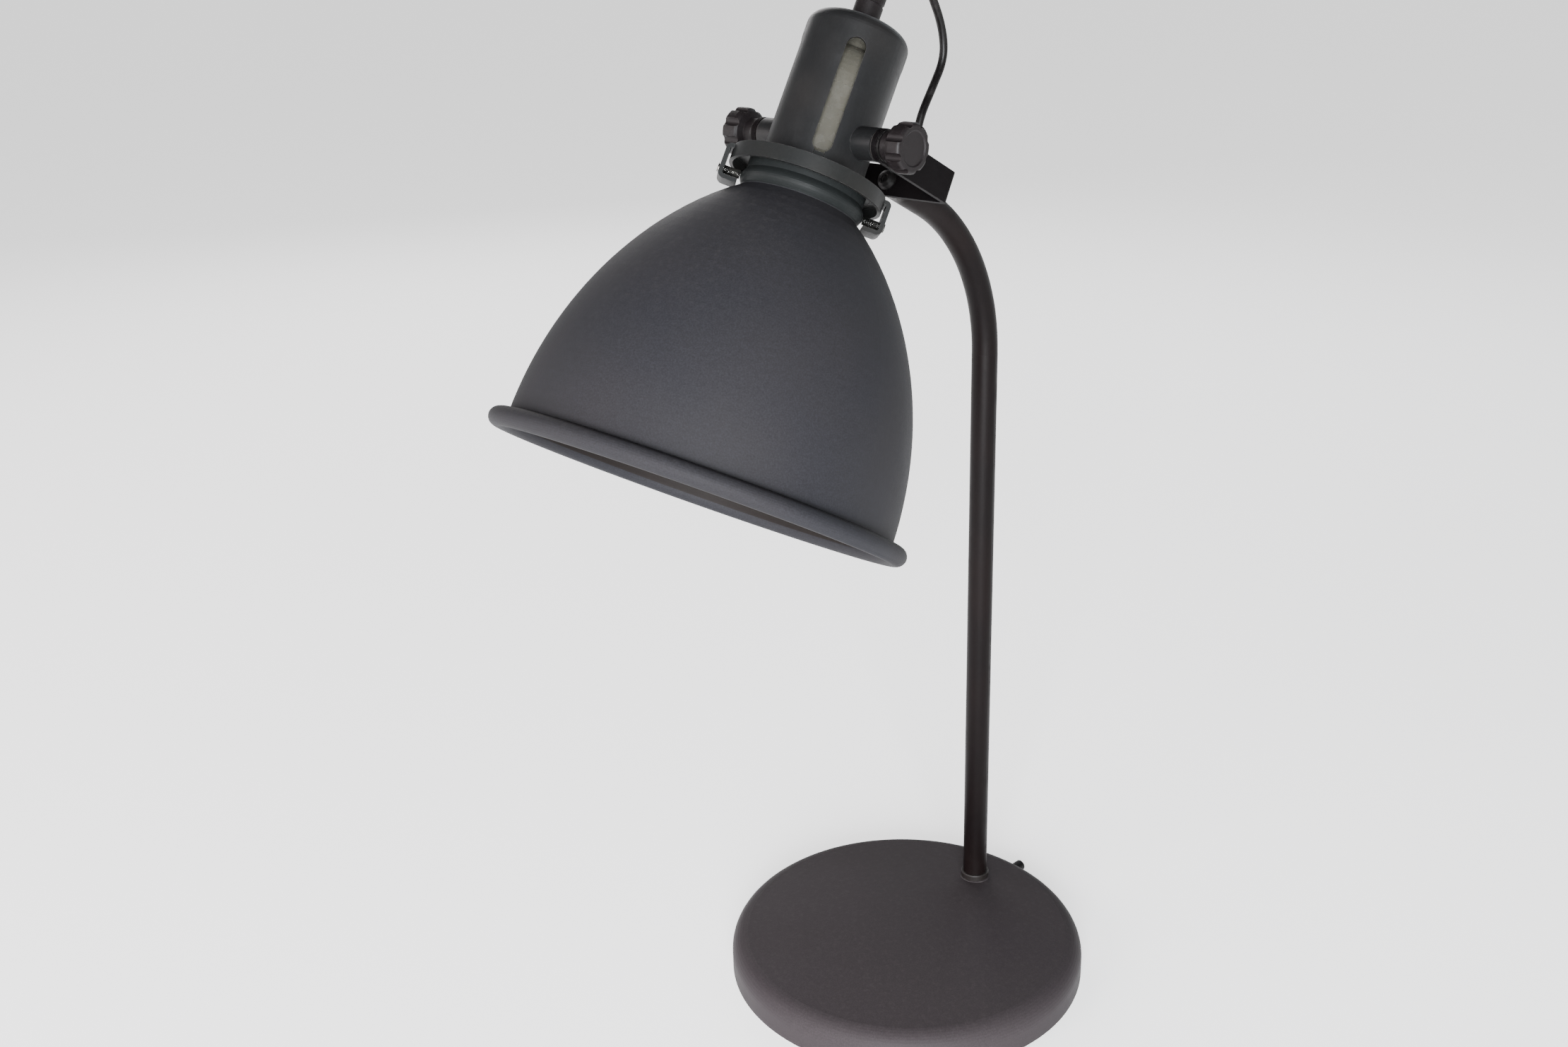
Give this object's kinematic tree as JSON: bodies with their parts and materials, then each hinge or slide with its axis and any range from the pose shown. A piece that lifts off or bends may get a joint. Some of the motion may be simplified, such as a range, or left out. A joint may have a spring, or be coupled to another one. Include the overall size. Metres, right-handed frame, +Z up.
{
  "type": "dome shade desk lamp",
  "caption": "Charcoal desk lamp with a round weighted foot, a bent tube stem, a forked strap with hand knobs and a tilting dome shade under a slotted lampholder cap.",
  "frame": {"origin": "centre of the round foot's underside, on the surface it stands on", "axes": "+Z up, -Y towards the shade, +X along the pivot of the head; the stem stands on the +Y side"},
  "size_m": [0.202, 0.3473, 0.56],
  "materials": {
    "foot_coat": "fine matt powder coat, dark warm grey",
    "shade_coat": "fine matt powder coat, charcoal",
    "cap_coat": "satin coat, greenish charcoal",
    "stem_coat": "satin coat, near black",
    "collar_coat": "satin coat, near black",
    "fork_coat": "satin coat, near black",
    "knob_plastic": "fine moulded black",
    "cream_plastic": "satin thermoset, pale cream",
    "fibre": "black pressed fibre",
    "cord_rubber": "smooth cord sheath",
    "pad_rubber": "dense foam pad",
    "cast_iron": "as cast",
    "black_steel": "blackened steel",
    "zinc_steel": "zinc plated",
    "brass": "plain",
    "bulb_cap_metal": "plain",
    "bulb_glass": "opal coated inside"
  },
  "bodies": {
    "stand": {"base_cover": "foot_coat", "base_weight": "cast_iron", "weight_nuts": "zinc_steel", "base_plate": "zinc_steel", "base_pad": "pad_rubber", "plate_screws": "zinc_steel", "cord_gland": "cord_rubber", "terminal_block": "cream_plastic", "terminal_screws": "brass", "stem_tube": "stem_coat", "stem_collar": "collar_coat", "stem_stud": "zinc_steel", "stem_washer": "zinc_steel", "stem_nut": "zinc_steel", "stem_plug": "zinc_steel", "stem_grommet": "cord_rubber", "inner_cord": "cord_rubber", "fork": "fork_coat", "fork_screw": "black_steel"},
    "head": {"shade": "shade_coat", "gallery_ring": "cap_coat", "gallery_screws": "zinc_steel", "holder_cap": "cap_coat", "pivot_boss_left": "cap_coat", "pivot_boss_right": "cap_coat", "fibre_washers": "fibre", "knob_washers": "black_steel", "cord_grip": "knob_plastic", "grip_nut": "zinc_steel", "holder_skirt": "cream_plastic", "holder_dome": "cream_plastic", "holder_core": "cream_plastic", "thread_shell": "brass", "centre_contact": "brass", "holder_screws": "zinc_steel", "bulb_glass": "bulb_glass", "bulb_cap": "bulb_cap_metal", "head_cord": "cord_rubber"},
    "knob_left": {"knob_left": "knob_plastic", "stud_left": "zinc_steel"},
    "knob_right": {"knob_right": "knob_plastic", "stud_right": "zinc_steel"}
  },
  "joints": [
    {"name": "head_tilt", "type": "hinge", "parent": "stand", "child": "head", "pos_m": [0, -0.061, 0.479], "axis": [1, 0, 0], "range_deg": [-45, 31], "deforming": ["head_cord"]},
    {"name": "knob_left_turn", "type": "hinge", "parent": "head", "child": "knob_left", "pos_m": [-0.045, -0.061, 0.479], "axis": [-1, 0, 0], "range_deg": [0, 360]},
    {"name": "knob_right_turn", "type": "hinge", "parent": "head", "child": "knob_right", "pos_m": [0.045, -0.061, 0.479], "axis": [1, 0, 0], "range_deg": [0, 360]}
  ]
}
